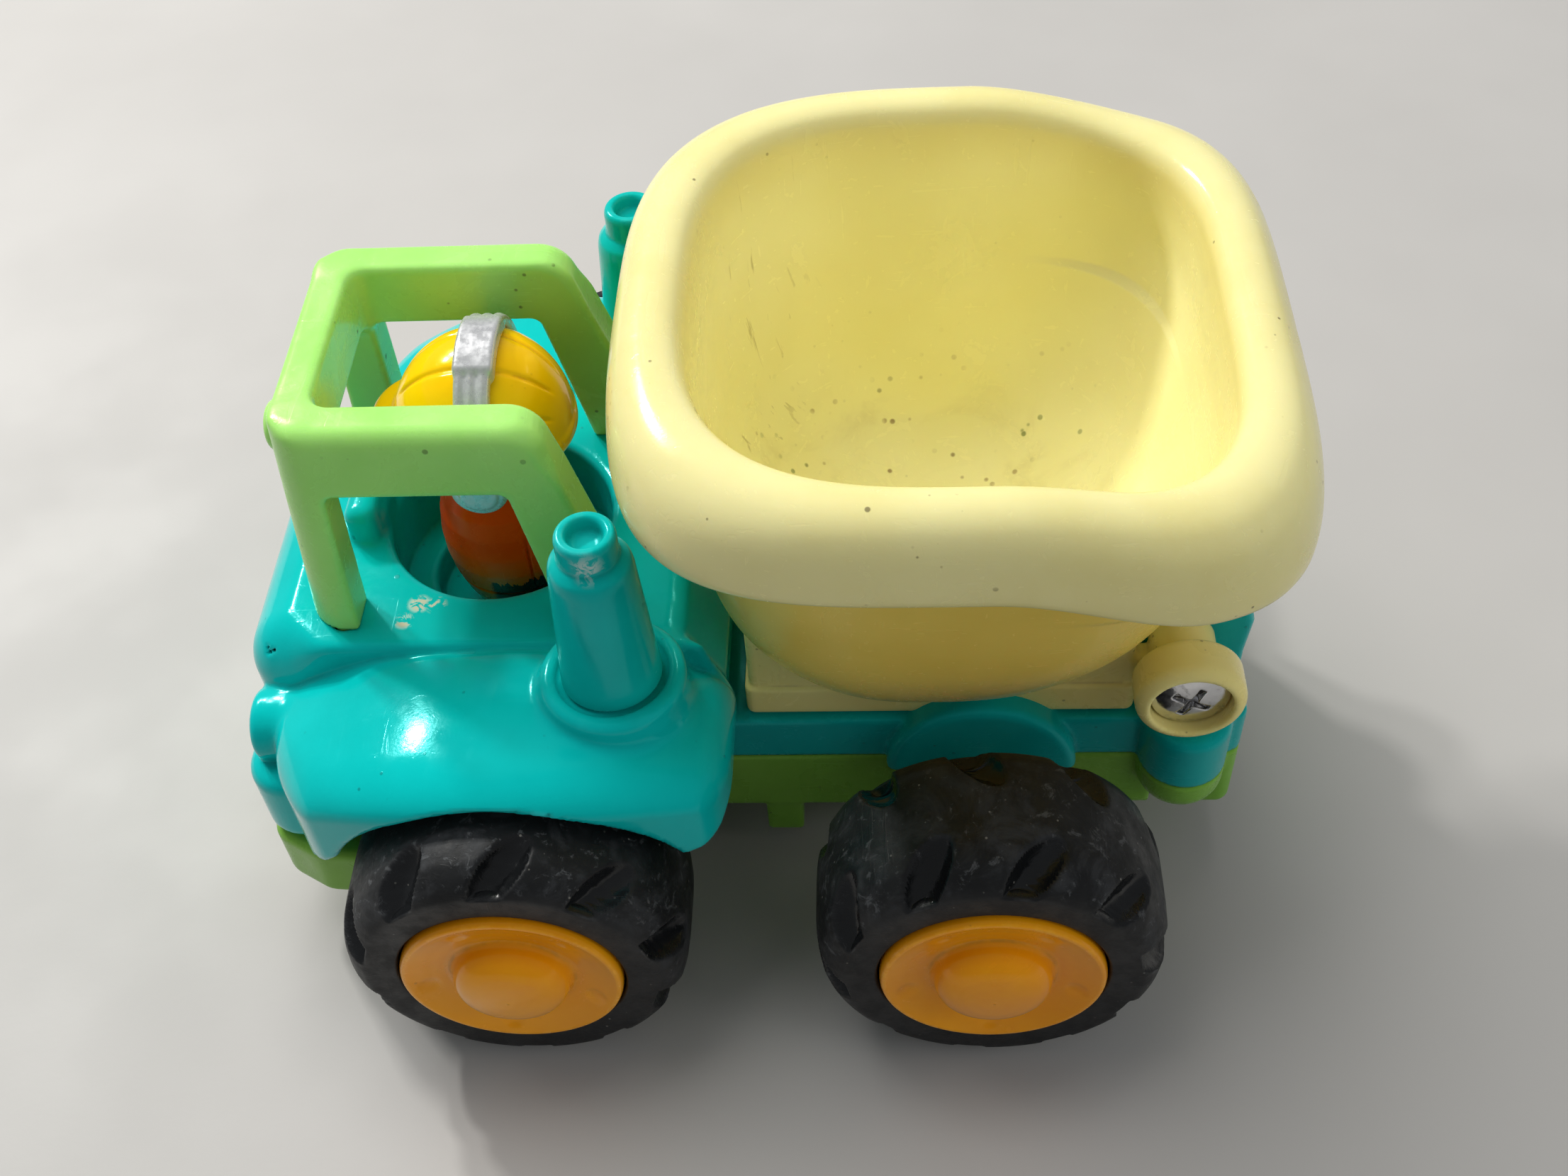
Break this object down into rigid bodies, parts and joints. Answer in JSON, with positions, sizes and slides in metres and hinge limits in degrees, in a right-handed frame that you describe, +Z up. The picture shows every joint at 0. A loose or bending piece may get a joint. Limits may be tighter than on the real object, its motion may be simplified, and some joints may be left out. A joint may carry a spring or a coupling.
{
  "type": "toy dump truck",
  "caption": "Chunky toddler push-along dump truck with an open roll cage over a seated driver, big ribbed tyres and a deep tipping tub.",
  "frame": {"origin": "on the floor under the middle of the wheelbase, on the truck's middle plane", "axes": "+X forward to the cab, +Y to the truck's left, +Z up"},
  "size_m": [0.1255, 0.1108, 0.0815],
  "materials": {
    "turquoise": "glossy moulded, finely speckled with dirt",
    "green": "satin moulded, slightly translucent",
    "cream": "glossy moulded, scratched inside",
    "orange": "glossy moulded",
    "rubber": "matte, scuffed",
    "yellow": "glossy paint",
    "red_orange": "satin paint",
    "skin": "satin paint",
    "silver": "metallic paint",
    "steel": "zinc plated",
    "chromed": "bright plated",
    "nylon": "natural nylon",
    "weight": "turned"
  },
  "bodies": {
    "body": {"cab_shell": "turquoise", "roll_cage": "green", "exhaust_left": "turquoise", "exhaust_right": "turquoise", "chassis_top": "turquoise", "chassis_bottom": "green", "motor_case_left": "nylon", "motor_case_right": "nylon", "idler_pin": "steel", "pivot_screw_left": "chromed", "pivot_screw_right": "chromed", "screw_front_left": "steel", "screw_front_right": "steel", "screw_mid_left": "steel", "screw_mid_right": "steel", "screw_rear_left": "steel", "screw_rear_right": "steel"},
    "front_wheels": {"front_axle": "steel", "hub_front_left": "orange", "hub_front_right": "orange", "tyre_front_left": "rubber", "tyre_front_right": "rubber"},
    "rear_wheels": {"rear_axle": "steel", "hub_rear_left": "orange", "hub_rear_right": "orange", "tyre_rear_left": "rubber", "tyre_rear_right": "rubber", "drive_gear": "nylon"},
    "idler": {"idler_gear": "nylon"},
    "flywheel_shaft": {"flywheel": "weight"},
    "bucket": {"bucket_tub": "cream", "bucket_base": "cream", "tub_screw_front": "steel", "tub_screw_rear": "steel"},
    "driver": {"driver_body": "red_orange", "driver_head": "skin", "driver_helmet": "yellow", "ear_defenders": "silver"}
  },
  "joints": [
    {"name": "front_axle_spin", "type": "hinge", "parent": "body", "child": "front_wheels", "pos_m": [0.028, 0, 0.0205], "axis": [0, 1, 0], "continuous": true},
    {"name": "rear_axle_spin", "type": "hinge", "parent": "body", "child": "rear_wheels", "pos_m": [-0.028, 0, 0.0205], "axis": [0, 1, 0], "continuous": true},
    {"name": "idler_spin", "type": "hinge", "parent": "body", "child": "idler", "pos_m": [-0.0231, 0, 0.01745], "axis": [0, 1, 0], "continuous": true},
    {"name": "flywheel_spin", "type": "hinge", "parent": "body", "child": "flywheel_shaft", "pos_m": [-0.01765, 0, 0.01775], "axis": [0, 1, 0], "continuous": true},
    {"name": "bucket_tilt", "type": "hinge", "parent": "body", "child": "bucket", "pos_m": [-0.0517, 0, 0.0382], "axis": [0, -1, 0], "range_deg": [0, 50]},
    {"name": "driver_turn", "type": "hinge", "parent": "body", "child": "driver", "pos_m": [0.031, 0, 0.0316], "axis": [0, 0, 1], "continuous": true}
  ],
  "couplings": [
    {"joint": "idler_spin", "follows": "rear_axle_spin", "ratio": -2},
    {"joint": "flywheel_spin", "follows": "rear_axle_spin", "ratio": 5.1429}
  ]
}
